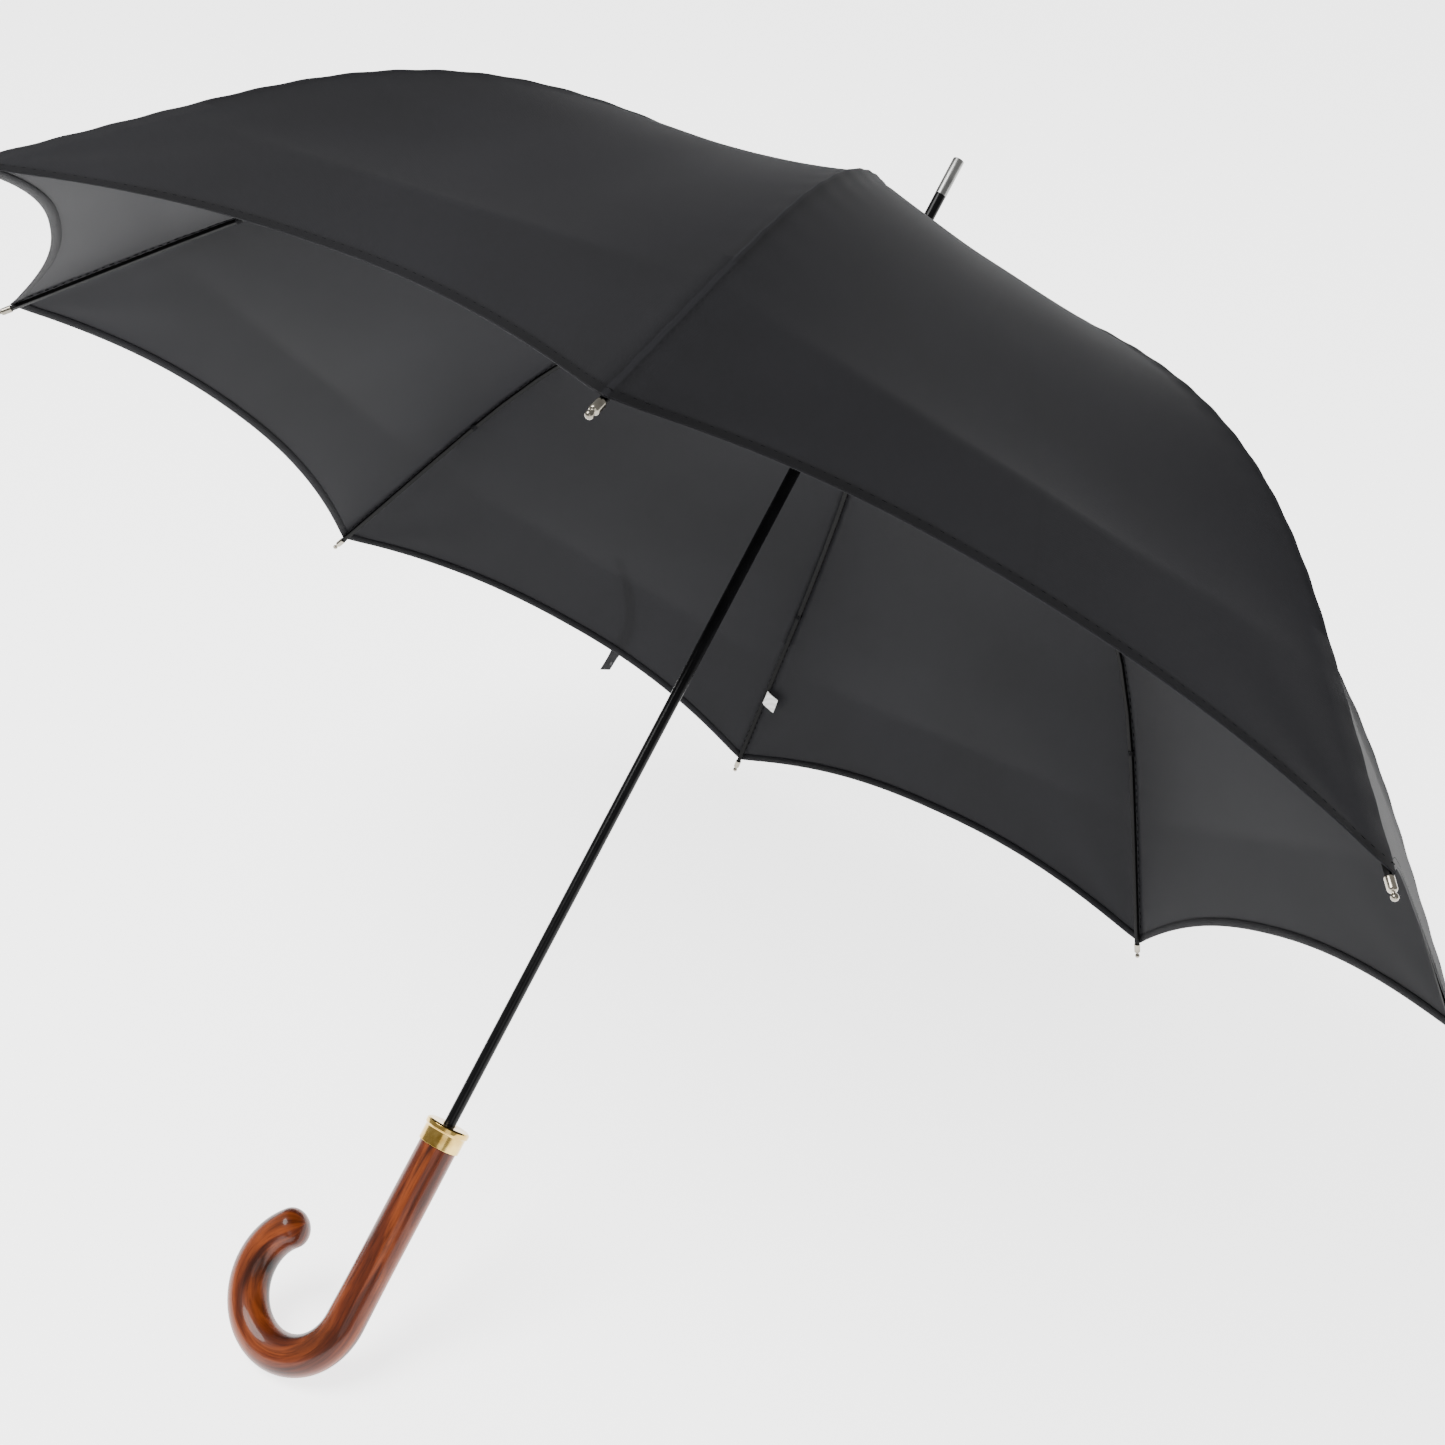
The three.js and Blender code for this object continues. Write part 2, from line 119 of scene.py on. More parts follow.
def add_node(tree, kind, settings=None, links=None, **sockets):
    """A node with its settings, socket values and incoming links {socket: (node, output)}."""
    node = tree.nodes.new(kind)
    for name, value in (settings or {}).items():
        setattr(node, name, value)
    for name, value in sockets.items():
        node.inputs[name.replace("_", " ")].default_value = value
    for name, (source, output) in (links or {}).items():
        tree.links.new(source.outputs[output], node.inputs[name])
    return node


def new_material(name):
    """An empty node material: its tree and its output node."""
    material = bpy.data.materials.new(name)
    material.use_nodes = True
    tree = material.node_tree
    tree.nodes.clear()
    return material, tree, tree.nodes.new("ShaderNodeOutputMaterial")


def set_stops(ramp, stops):
    """Colour ramp stops from a list of (place, hex)."""
    elements = ramp.color_ramp.elements
    while len(elements) < len(stops):
        elements.new(0.5)
    for element, (spot, colour) in zip(elements, stops):
        element.position = spot
        element.color = to_linear(colour)


FLOOR_GLOW = 3.0


def floor_material():
    """White acrylic sheet lit from below, as on a product photographer's light table."""
    material, tree, output = new_material("lit acrylic")
    shader = add_node(tree, "ShaderNodeBsdfPrincipled", Roughness=0.6, Base_Color=to_linear("#F6F6F5"),
                      Emission_Color=to_linear("#FFFFFF"), Emission_Strength=FLOOR_GLOW)
    tree.links.new(shader.outputs[0], output.inputs[0])
    return material


world = bpy.data.worlds.new("studio")
world.use_nodes = True
world.node_tree.nodes["Background"].inputs[0].default_value = to_linear("#FFFFFF")
world.node_tree.nodes["Background"].inputs[1].default_value = 0.5
bpy.context.scene.world = world

bpy.ops.mesh.primitive_plane_add(size=24, location=(0, 0, 0))
floor = bpy.context.object
floor.name = "floor"
floor.data.materials.append(floor_material())


# ---- Canopy panels ----
# Eight gores of black plain-weave polyester, seamed over the ribs. Each panel here is the cloth
# around one rib, from the middle of one gore to the middle of the next, so it folds with its rib.
# The cloth is pulled tight over the bent ribs and dips between them.
RIB_LENGTH = 594
CROWN_SLOPE = math.radians(15.7)
TIP_SLOPE = math.radians(48.7)
BEND_START = 0.263 * RIB_LENGTH
BEND_END = 0.825 * RIB_LENGTH
CLOTH_LIFT = 2.4
CLOTH_THICKNESS = 0.3
CLOTH_SAG = 0.63
HEM_SCALLOP = 0.06
HEM_POWER = 2.28
NECK = 2.0
SEAM_HEIGHT = 0.9


def rib_slope(s):
    t = min(max((s - BEND_START) / (BEND_END - BEND_START), 0), 1)
    return CROWN_SLOPE + (TIP_SLOPE - CROWN_SLOPE) * t * t * (3 - 2 * t)


def rib_curvature(s):
    t = min(max((s - BEND_START) / (BEND_END - BEND_START), 0), 1)
    return (TIP_SLOPE - CROWN_SLOPE) * 6 * t * (1 - t) / (BEND_END - BEND_START)


rib_track = [(hinge_radius, 0.0)]
for step in range(RIB_LENGTH + 60):
    slope = rib_slope(step + 0.5)
    x, z = rib_track[-1]
    rib_track.append((x + math.cos(slope), z - math.sin(slope)))


def beside_rib(s, offset):
    """A point of the rib's plane: s along the rib, offset outward."""
    slope = rib_slope(s)
    if s < 0:
        x, z = hinge_radius + s * math.cos(slope), -s * math.sin(slope)
    else:
        i = min(int(s), len(rib_track) - 2)
        t = s - i
        x = rib_track[i][0] * (1 - t) + rib_track[i + 1][0] * t
        z = rib_track[i][1] * (1 - t) + rib_track[i + 1][1] * t
    return x + offset * math.sin(slope), z + offset * math.cos(slope)


def hem_at(u):
    return RIB_LENGTH * (1 - HEM_SCALLOP * (1 - abs(u) ** HEM_POWER))


def pucker(gore, u, s, half_width):
    """Small unevenness of stretched cloth: pull lines from the rib tips and puckered seams."""
    lift = 0
    for side in (-1, 1):
        far = half_width * abs(side - u)
        down = RIB_LENGTH - s
        reach = math.hypot(far, down)
        fan = math.atan2(far, down + 1)
        phase = 1.7 * ((gore + (side > 0)) % RIBS)
        fade = math.exp(-reach / 95) * min(1, far / 25)
        lift += 0.7 * fade * math.sin(9 * fan + phase) * min(1, reach / 30)
        lift += 0.22 * math.exp(-far / 9) * math.sin(s / 4.1 + phase)
    spot = Vector((gore % RIBS * 5 + u * 1.6, s / 170, 0))
    lift += 1.0 * noise.noise(spot) * (1 - u * u) * min(1, s / 120)
    edge = half_width * (1 - abs(u))
    lift += SEAM_HEIGHT * (math.exp(-(edge / 1.5) ** 2) - 0.6 * math.exp(-((edge - 4.5) / 1.6) ** 2))
    return lift


def cloth_point(gore, u, s, lift):
    """A point of the canopy in umbrella millimetres: u from -1 to 1 across a gore."""
    half = SECTOR / 2
    x, z = beside_rib(s, lift)
    slope = rib_slope(s)
    normal = Vector((math.sin(slope), 0, math.cos(slope) * math.cos(half))).normalized()
    half_width = x * math.sin(half)
    dip = CLOTH_SAG * rib_curvature(s) * half_width ** 2 / 2 * (1 - u * u)
    dip -= pucker(gore, u, s, half_width)
    point = Vector((x * math.cos(half), u * half_width, z)) - dip * normal
    return Matrix.Rotation(gore * SECTOR, 3, "Z") @ point


def new_piece(name, material):
    mesh = bpy.data.meshes.new(name)
    piece = bpy.data.objects.new(name, mesh)
    bpy.context.scene.collection.objects.link(piece)
    mesh.materials.append(material)
    return piece


def sheet_mesh(piece, grid, closed=False):
    """Fills a piece's mesh with quads from a grid of points and shades it smooth."""
    rows, columns = len(grid), len(grid[0])
    points = [place(*p) for row in grid for p in row]
    faces = []
    for i in range(rows - 1):
        for j in range(columns if closed else columns - 1):
            n = (j + 1) % columns
            faces.append((i * columns + j, i * columns + n, (i + 1) * columns + n, (i + 1) * columns + j))
    piece.data.from_pydata(points, [], faces)
    piece.data.polygons.foreach_set("use_smooth", [True] * len(faces))


def apply_modifiers(piece):
    """Leaves the evaluated shape as a plain mesh and removes the modifiers."""
    graph = bpy.context.evaluated_depsgraph_get()
    shape = bpy.data.meshes.new_from_object(piece.evaluated_get(graph))
    piece.modifiers.clear()
    piece.data = shape
    shape.set_sharp_from_angle(angle=math.radians(50))


def fold_with_rib(piece, k):
    """The piece rides on rib k."""
    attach(piece, f"rib_{k}")
    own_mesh(piece)


THREAD_SPACING = 0.9
SEAM_WIDTH = 1.8


def cloth_material():
    """Matt black polyester pongee, plain weave, calendered: dark, a faint bluish sheen at a
    grazing angle, and light glows through it a little. Threads drawn at 0.9 mm so they show."""
    material, tree, output = new_material("polyester pongee")
    uv = add_node(tree, "ShaderNodeUVMap", {"uv_map": "weave"})
    split = add_node(tree, "ShaderNodeSeparateXYZ", links={"Vector": (uv, 0)})
    # Painted highlight: a narrow band along each seam over the rib gets a lighter cloth colour, standing in
    # for the light caught on the seam's ridge.
    from_seam = add_node(tree, "ShaderNodeMath", {"operation": "ABSOLUTE"}, {0: (split, "X")})
    seam = add_node(tree, "ShaderNodeMapRange", {"interpolation_type": "SMOOTHSTEP"},
                    {"Value": (from_seam, 0)})
    seam.inputs["From Min"].default_value = SEAM_WIDTH * MM * 0.6
    seam.inputs["From Max"].default_value = SEAM_WIDTH * MM
    seam.inputs["To Min"].default_value = 0.5
    seam.inputs["To Max"].default_value = 0.0
    turns = 2 * math.pi / (THREAD_SPACING * MM)
    waves = []
    for axis in ("X", "Y"):
        scaled = add_node(tree, "ShaderNodeMath", {"operation": "MULTIPLY"}, {0: (split, axis)})
        scaled.inputs[1].default_value = turns
        waves.append(add_node(tree, "ShaderNodeMath", {"operation": "SINE"}, {0: (scaled, 0)}))
    weave = add_node(tree, "ShaderNodeMath", {"operation": "MULTIPLY"}, {0: (waves[0], 0), 1: (waves[1], 0)})
    coords = add_node(tree, "ShaderNodeTexCoord")
    cloudy = add_node(tree, "ShaderNodeTexNoise", links={"Vector": (coords, "Object")},
                      Scale=7, Detail=4, Roughness=0.6)
    tint = add_node(tree, "ShaderNodeValToRGB", links={"Fac": (cloudy, 0)})
    set_stops(tint, [(0.3, "#18181A"), (0.7, "#1F1F22")])
    # Mixes in the painted seam highlight: a lighter cloth colour near the seam.
    seam_highlight = add_node(tree, "ShaderNodeMix", {"data_type": "RGBA"}, {"Factor": (seam, 0), "A": (tint, 0)})
    seam_highlight.inputs["B"].default_value = to_linear("#303034")
    bump = add_node(tree, "ShaderNodeBump", links={"Height": (weave, 0)}, Strength=0.12, Distance=0.0002)
    shader = add_node(tree, "ShaderNodeBsdfPrincipled",
                      links={"Base Color": (seam_highlight, "Result"), "Normal": (bump, 0)},
                      Roughness=0.65, Sheen_Weight=0.05, Sheen_Roughness=0.35, Specular_IOR_Level=0.2)
    glow = add_node(tree, "ShaderNodeBsdfTranslucent", links={"Normal": (bump, 0)},
                    Color=to_linear("#6C6C6F"))
    mixed = add_node(tree, "ShaderNodeMixShader", links={1: (shader, 0), 2: (glow, 0)}, Fac=0.4)
    tree.links.new(mixed.outputs[0], output.inputs[0])
    return material


cloth = cloth_material()
ROWS = 130
HALF_COLUMNS = 26


def panel_columns(k):
    """(gore, u) across a panel: closer together near the seam over the rib."""
    spread = [1 - (1 - i / HALF_COLUMNS) ** 1.6 for i in range(HALF_COLUMNS + 1)]
    left = [(k - 1, 1 - t) for t in reversed(spread)]
    right_side = [(k, t - 1) for t in spread]
    return left + right_side[1:]


def add_weave_uv(piece, widths, lengths):
    """UV in metres of cloth, so that the weave keeps its size."""
    layer = piece.data.uv_layers.new(name="weave")
    columns = len(widths[0])
    for loop in piece.data.loops:
        row, column = divmod(loop.vertex_index, columns)
        layer.data[loop.index].uv = (widths[row][column] * MM, lengths[row][column] * MM)


for k in range(1, RIBS + 1):
    columns = panel_columns(k)
    grid, widths, lengths = [], [], []
    for i in range(ROWS + 1):
        v = i / ROWS
        row, across_row, down_row = [], [], []
        for gore, u in columns:
            s = -NECK + v * (hem_at(u) + NECK)
            row.append(cloth_point(gore, u, s, CLOTH_LIFT))
            side = 1 if gore == k else -1
            across_row.append(side * (1 - abs(u)) * beside_rib(s, 0)[0] * math.sin(SECTOR / 2))
            down_row.append(s)
        grid.append(row)
        widths.append(across_row)
        lengths.append(down_row)
    panel = new_piece(f"canopy_panel_{k}", cloth)
    sheet_mesh(panel, grid)
    add_weave_uv(panel, widths, lengths)
    solid = panel.modifiers.new("thickness", "SOLIDIFY")
    solid.thickness = CLOTH_THICKNESS * MM
    solid.offset = -1
    apply_modifiers(panel)
    fold_with_rib(panel, k)
    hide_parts(f"gore_{k}")

# ---- Hem, seams and thread ----
# The hem is the gore's edge folded 6 mm to the inside and sewn down; the gores are sewn to each
# other along every rib. Black polyester thread, sewn in short stitches that catch the light.
HEM_WIDTH = 6
STITCH = 3.4
STITCH_GAP = 5.6
THREAD = 0.7


def thread_material():
    """Spun polyester sewing thread: black, slightly glossy, twisted."""
    material, tree, output = new_material("polyester thread")
    coords = add_node(tree, "ShaderNodeTexCoord")
    twist = add_node(tree, "ShaderNodeTexWave", {"wave_type": "BANDS", "bands_direction": "DIAGONAL"},
                     {"Vector": (coords, "Object")}, Scale=900, Distortion=0.5)
    tint = add_node(tree, "ShaderNodeValToRGB", links={"Fac": (twist, 0)})
    set_stops(tint, [(0.2, "#0B0B0C"), (0.9, "#1D1D1F")])
    bump = add_node(tree, "ShaderNodeBump", links={"Height": (twist, 0)}, Strength=0.3, Distance=0.0001)
    shader = add_node(tree, "ShaderNodeBsdfPrincipled", links={"Base Color": (tint, 0), "Normal": (bump, 0)},
                      Roughness=0.8, Specular_IOR_Level=0.1)
    tree.links.new(shader.outputs[0], output.inputs[0])
    return material


thread = thread_material()


def stitch_tree():
    """Geometry Nodes: stitches laid end to end along every edge line of a mesh."""
    tree = bpy.data.node_groups.new("stitch line", "GeometryNodeTree")
    panel = tree.interface
    panel.new_socket("Geometry", in_out="INPUT", socket_type="NodeSocketGeometry")
    for name in ("Spacing", "Length", "Thickness", "Unevenness"):
        panel.new_socket(name, in_out="INPUT", socket_type="NodeSocketFloat")
    panel.new_socket("Material", in_out="INPUT", socket_type="NodeSocketMaterial")
    panel.new_socket("Geometry", in_out="OUTPUT", socket_type="NodeSocketGeometry")
    inputs = add_node(tree, "NodeGroupInput")
    line = add_node(tree, "GeometryNodeMeshToCurve", links={"Mesh": (inputs, "Geometry")})
    steps = add_node(tree, "GeometryNodeResampleCurve", {"mode": "LENGTH"},
                     {"Curve": (line, 0), "Length": (inputs, "Spacing")})
    along = add_node(tree, "GeometryNodeInputTangent")
    turn = add_node(tree, "FunctionNodeAlignRotationToVector", {"axis": "X"}, {"Vector": (along, 0)})
    size = add_node(tree, "ShaderNodeCombineXYZ", links={"X": (inputs, "Length"), "Y": (inputs, "Thickness"),
                                                         "Z": (inputs, "Thickness")})
    vary = add_node(tree, "FunctionNodeRandomValue", {"data_type": "FLOAT"}, Seed=7)
    vary.inputs[2].default_value = 0.8
    vary.inputs[3].default_value = 1.15
    scaled = add_node(tree, "ShaderNodeVectorMath", {"operation": "SCALE"},
                      {0: (size, 0), "Scale": (vary, 1)})
    bead = add_node(tree, "GeometryNodeMeshUVSphere", Segments=6, Rings=4, Radius=0.5)
    spread = add_node(tree, "GeometryNodeInstanceOnPoints", links={
        "Points": (steps, 0), "Instance": (bead, 0), "Rotation": (turn, 0), "Scale": (scaled, 0)})
    real = add_node(tree, "GeometryNodeRealizeInstances", links={"Geometry": (spread, 0)})
    painted = add_node(tree, "GeometryNodeSetMaterial",
                       links={"Geometry": (real, 0), "Material": (inputs, "Material")})
    add_node(tree, "NodeGroupOutput", links={"Geometry": (painted, 0)})
    return tree


stitches = stitch_tree()


def set_inputs(modifier, tree, **values):
    """Sets a Geometry Nodes modifier's inputs by their names."""
    for item in tree.interface.items_tree:
        if item.in_out == "INPUT" and item.name in values:
            modifier[item.identifier] = values[item.name]


def sew(name, lines, spacing=STITCH_GAP, length=STITCH, thickness=THREAD):
    """A piece of thread: stitches along lines of umbrella points."""
    piece = new_piece(name, thread)
    points, edges = [], []
    for line in lines:
        edges += [(len(points) + i, len(points) + i + 1) for i in range(len(line) - 1)]
        points += [place(*p) for p in line]
    piece.data.from_pydata(points, edges, [])
    run = piece.modifiers.new("stitches", "NODES")
    run.node_group = stitches
    set_inputs(run, stitches, Spacing=spacing * MM, Length=length * MM, Thickness=thickness * MM,
               Material=thread)
    apply_modifiers(piece)
    return piece


inside = CLOTH_LIFT - CLOTH_THICKNESS
for k in range(1, RIBS + 1):
    grid = []
    for gore, u in panel_columns(k):
        edge = hem_at(u)
        profile = [(edge - HEM_WIDTH, inside + 0.1), (edge - HEM_WIDTH, inside - 0.45),
                   (edge - 0.8, inside - 0.5), (edge + 0.5, inside - 0.1),
                   (edge + 0.5, CLOTH_LIFT - 0.1), (edge - 0.4, CLOTH_LIFT + 0.05),
                   (edge - 1.5, inside + 0.1)]
        grid.append([cloth_point(gore, u, s, lift) for s, lift in profile])
    hem = new_piece(f"canopy_hem_{k}", cloth)
    sheet_mesh(hem, grid, closed=True)
    shape = bmesh.new()
    shape.from_mesh(hem.data)
    bmesh.ops.holes_fill(shape, edges=shape.edges)
    bmesh.ops.recalc_face_normals(shape, faces=shape.faces)
    shape.to_mesh(hem.data)
    shape.free()
    hem.data.uv_layers.new(name="weave")
    fold_with_rib(hem, k)

    rows = [12 + i * 4 for i in range(int((RIB_LENGTH - 24) / 4) + 1)]
    seam_lines = [[cloth_point(gore, u, s, CLOTH_LIFT + 0.1) for s in rows]
                  for gore, u in ((k, -1 + 0.012), (k - 1, 1 - 0.012))]
    hem_line = [cloth_point(gore, u, hem_at(u) - HEM_WIDTH + 1, CLOTH_LIFT + 0.1)
                for gore, u in panel_columns(k)]
    sewn = sew(f"seam_thread_{k}", [*seam_lines, hem_line])
    fold_with_rib(sewn, k)


# ---- Thread ties ----
# Each rib is tied to the seam above it in two places with a few turns of black thread.
TIE_PLACES = (0.47, 0.735)
TIE_TURNS = 5
TIE_PITCH = 0.75
TIE_THREAD = 0.42
TIE_HALF_WIDTH = 2.2
TIE_HALF_HEIGHT = 2.0
TIE_CENTRE = 0.35


def ring_points(s, rise):
    """One turn of thread round a rib, a flattened loop in the plane across the rib."""
    slope = rib_slope(s)
    points = []
    for i in range(25):
        a = 2 * math.pi * i / 24
        x, z = beside_rib(s, TIE_CENTRE + TIE_HALF_HEIGHT * math.sin(a))
        points.append((x + rise * math.cos(slope), TIE_HALF_WIDTH * math.cos(a),
                       z - rise * math.sin(slope)))
    return points


def tube_mesh(piece, paths, radius, sides=8):
    """Round tubes along closed or open paths of umbrella points, added to one piece."""
    shape = bmesh.new()
    for path in paths:
        points = [Vector(p) for p in path]
        looped = (points[0] - points[-1]).length < 1e-6
        if looped:
            points = points[:-1]
        count = len(points)
        rings = []
        guide = None
        for i, point in enumerate(points):
            before = points[i - 1] if looped or i else point
            after = points[(i + 1) % count] if looped or i < count - 1 else point
            heading = (after - before).normalized()
            if guide is None:
                guide = heading.orthogonal().normalized()
            guide = (guide - heading * guide.dot(heading)).normalized()
            other = heading.cross(guide)
            rings.append([shape.verts.new(place(*(point + radius * (
                math.cos(a) * guide + math.sin(a) * other)))) for a in
                (2 * math.pi * j / sides for j in range(sides))])
        for i in range(count if looped else count - 1):
            one, two = rings[i], rings[(i + 1) % count]
            for j in range(sides):
                n = (j + 1) % sides
                shape.faces.new((one[j], one[n], two[n], two[j]))
        if not looped:
            shape.faces.new(reversed(rings[0]))
            shape.faces.new(rings[-1])
    bmesh.ops.recalc_face_normals(shape, faces=shape.faces)
    shape.to_mesh(piece.data)
    shape.free()
    piece.data.polygons.foreach_set("use_smooth", [True] * len(piece.data.polygons))


def turned_about_shaft(points, k):
    spin = Matrix.Rotation((k - 0.5) * SECTOR, 3, "Z")
    return [spin @ Vector(p) for p in points]


for k in range(1, RIBS + 1):
    turns = [turned_about_shaft(ring_points(share * RIB_LENGTH, TIE_PITCH * (i - TIE_TURNS / 2)), k)
             for share in TIE_PLACES for i in range(TIE_TURNS)]
    tie = new_piece(f"rib_tie_{k}", thread)
    tube_mesh(tie, turns, TIE_THREAD, sides=6)
    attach(tie, f"rib_{k}")


# ---- Crook handle ----
# A rod of straight-grained hardwood, steamed and bent into a crook, its free end rounded, stained
# red-brown and varnished to a gloss. The heat of bending leaves darker scorched streaks in the bend.
HANDLE_RADIUS = 11.8
HANDLE_SWELL = 0.8
CROOK_RADIUS = 38
CROOK_ARC = math.radians(226)
handle_low, handle_top = along_shaft("crook_handle")
HANDLE_STRAIGHT = handle_top - handle_low - CROOK_RADIUS - HANDLE_RADIUS - HANDLE_SWELL / 2


def crook_frame(run):
    """Centre, heading and outward side of the crook at a distance from its top."""
    if run <= HANDLE_STRAIGHT:
        return Vector((0, 0, handle_top - run)), Vector((0, 0, -1)), Vector((0, -1, 0))
    a = (run - HANDLE_STRAIGHT) / CROOK_RADIUS
    centre = Vector((0, CROOK_RADIUS * (1 - math.cos(a)),
                     handle_top - HANDLE_STRAIGHT - CROOK_RADIUS * math.sin(a)))
    return centre, Vector((0, math.sin(a), -math.cos(a))), Vector((0, -math.cos(a), -math.sin(a)))


def lacquered_wood():
    """Stained ash with clear gloss varnish: long fine pores, a warm red-brown ground, dark scorched
    streaks where it was bent, and a hard wet-looking highlight."""
    material, tree, output = new_material("varnished bent ash")
    uv = add_node(tree, "ShaderNodeUVMap", {"uv_map": "grain"})
    stretched = add_node(tree, "ShaderNodeMapping", links={"Vector": (uv, 0)}, Scale=(260, 14, 1))
    pores = add_node(tree, "ShaderNodeTexNoise", links={"Vector": (stretched, 0)},
                     Scale=3, Detail=8, Roughness=0.65)
    broad = add_node(tree, "ShaderNodeMapping", links={"Vector": (uv, 0)}, Scale=(46, 5, 1))
    bands = add_node(tree, "ShaderNodeTexNoise", links={"Vector": (broad, 0)}, Scale=2.2, Detail=5,
                     Distortion=0.6)
    ground = add_node(tree, "ShaderNodeValToRGB", links={"Fac": (bands, 0)})
    set_stops(ground, [(0.3, "#280E05"), (0.45, "#57230E"), (0.57, "#7E3B19"), (0.72, "#371407")])
    lines = add_node(tree, "ShaderNodeValToRGB", links={"Fac": (pores, 0)})
    set_stops(lines, [(0.32, "#2A0F07"), (0.5, "#FFFFFF")])
    grained = add_node(tree, "ShaderNodeMix", {"data_type": "RGBA", "blend_type": "MULTIPLY"},
                       {"A": (ground, 0), "B": (lines, 0)}, Factor=0.55)
    scorch = add_node(tree, "ShaderNodeAttribute", {"attribute_name": "scorch"})
    burn_noise = add_node(tree, "ShaderNodeMapping", links={"Vector": (uv, 0)}, Scale=(60, 16, 1))
    burns = add_node(tree, "ShaderNodeTexNoise", links={"Vector": (burn_noise, 0)}, Scale=1.6, Detail=4)
    burnt = add_node(tree, "ShaderNodeMath", {"operation": "MULTIPLY"}, {0: (scorch, "Fac"), 1: (burns, 0)})
    amount = add_node(tree, "ShaderNodeValToRGB", links={"Fac": (burnt, 0)})
    set_stops(amount, [(0.2, "#000000"), (0.55, "#FFFFFF")])
    coloured = add_node(tree, "ShaderNodeMix", {"data_type": "RGBA"},
                        {"Factor": (amount, 0), "A": (grained, "Result")})
    coloured.inputs["B"].default_value = to_linear("#170804")
    bump = add_node(tree, "ShaderNodeBump", links={"Height": (pores, 0)}, Strength=0.12, Distance=0.0003)
    shader = add_node(tree, "ShaderNodeBsdfPrincipled",
                      links={"Base Color": (coloured, "Result"), "Normal": (bump, 0)},
                      Roughness=0.34, Coat_Weight=0.22, Coat_Roughness=0.07, Specular_IOR_Level=0.15)
    tree.links.new(shader.outputs[0], output.inputs[0])
    return material


def make_handle():
    sides = 48
    rings = []
    length = HANDLE_STRAIGHT + CROOK_ARC * CROOK_RADIUS
    runs = [length * i / 110 for i in range(111)]
    for run in runs:
        bent = 1 / (1 + math.exp((HANDLE_STRAIGHT - 10 - run) / 14))
        rings.append((run, HANDLE_RADIUS + HANDLE_SWELL * bent + 0.1 * math.sin(run / 23)))
    end_radius = rings[-1][1]
    for i in range(1, 11):
        a = math.pi / 2 * i / 10
        rings.append((length, end_radius, a))
    grid, grain, scorch = [], [], []
    for ring in rings:
        centre, heading, side = crook_frame(ring[0])
        radius, bulge = ring[1], 0
        if len(ring) == 3:
            bulge = radius * math.sin(ring[2]) * 0.8
            radius = max(radius * math.cos(ring[2]), 0.02)
        third = heading.cross(side)
        row, row_uv, row_burn = [], [], []
        for j in range(sides + 1):
            a = 2 * math.pi * j / sides
            row.append(centre + heading * bulge + radius * (math.cos(a) * side + math.sin(a) * third))
            row_uv.append((a * HANDLE_RADIUS * MM, (ring[0] + bulge) * MM))
            bend = math.exp(-((ring[0] - HANDLE_STRAIGHT - 18) / 26) ** 2)
            bend += 0.8 * math.exp(-((ring[0] - HANDLE_STRAIGHT - 118) / 22) ** 2)
            row_burn.append(bend * (0.75 - 0.5 * math.cos(a)))
        grid.append(row)
        grain.append(row_uv)
        scorch.append(row_burn)
    handle = new_piece("crook_handle_wood", lacquered_wood())
    sheet_mesh(handle, grid)
    mesh = handle.data
    layer = mesh.uv_layers.new(name="grain")
    columns = sides + 1
    for loop in mesh.loops:
        row, column = divmod(loop.vertex_index, columns)
        layer.data[loop.index].uv = grain[row][column]
    burn = mesh.attributes.new("scorch", "FLOAT", "POINT")
    burn.data.foreach_set("value", [b for row in scorch for b in row])
    shape = bmesh.new()
    shape.from_mesh(mesh)
    bmesh.ops.remove_doubles(shape, verts=shape.verts, dist=0.000005)
    bmesh.ops.holes_fill(shape, edges=[e for e in shape.edges if e.is_boundary])
    bmesh.ops.recalc_face_normals(shape, faces=shape.faces)
    shape.to_mesh(mesh)
    shape.free()
    mesh.set_sharp_from_angle(angle=math.radians(60))
    return handle


handle = make_handle()
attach(handle, "frame")
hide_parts("crook_handle")


# ---- Collar ----
# A turned and polished brass ring with a stepped rim. It covers the joint where the steel shaft
# enters the wooden handle.
SHAFT_RADIUS = 3.7
COLLAR_RADIUS = 13.0
COLLAR_RIM = 14.0


def metal(name, colour, dark, roughness, metallic=1.0, coat=0.0, specular=0.5):
    """A turned or plated surface: fine tool marks, faint tarnish, roughness that varies a little."""
    material, tree, output = new_material(name)
    coords = add_node(tree, "ShaderNodeTexCoord")
    smears = add_node(tree, "ShaderNodeTexNoise", links={"Vector": (coords, "Object")}, Scale=60, Detail=6)
    tint = add_node(tree, "ShaderNodeValToRGB", links={"Fac": (smears, 0)})
    set_stops(tint, [(0.35, dark), (0.6, colour)])
    rough = add_node(tree, "ShaderNodeMapRange", links={"Value": (smears, 0)})
    rough.inputs["To Min"].default_value = roughness * 0.8
    rough.inputs["To Max"].default_value = roughness * 1.3
    fine = add_node(tree, "ShaderNodeTexNoise", links={"Vector": (coords, "Object")}, Scale=1800, Detail=2)
    bump = add_node(tree, "ShaderNodeBump", links={"Height": (fine, 0)}, Strength=0.06, Distance=0.0001)
    shader = add_node(tree, "ShaderNodeBsdfPrincipled",
                      links={"Base Color": (tint, 0), "Roughness": (rough, 0), "Normal": (bump, 0)},
                      Metallic=metallic, Coat_Weight=coat, Coat_Roughness=0.05, Specular_IOR_Level=specular)
    tree.links.new(shader.outputs[0], output.inputs[0])
    return material


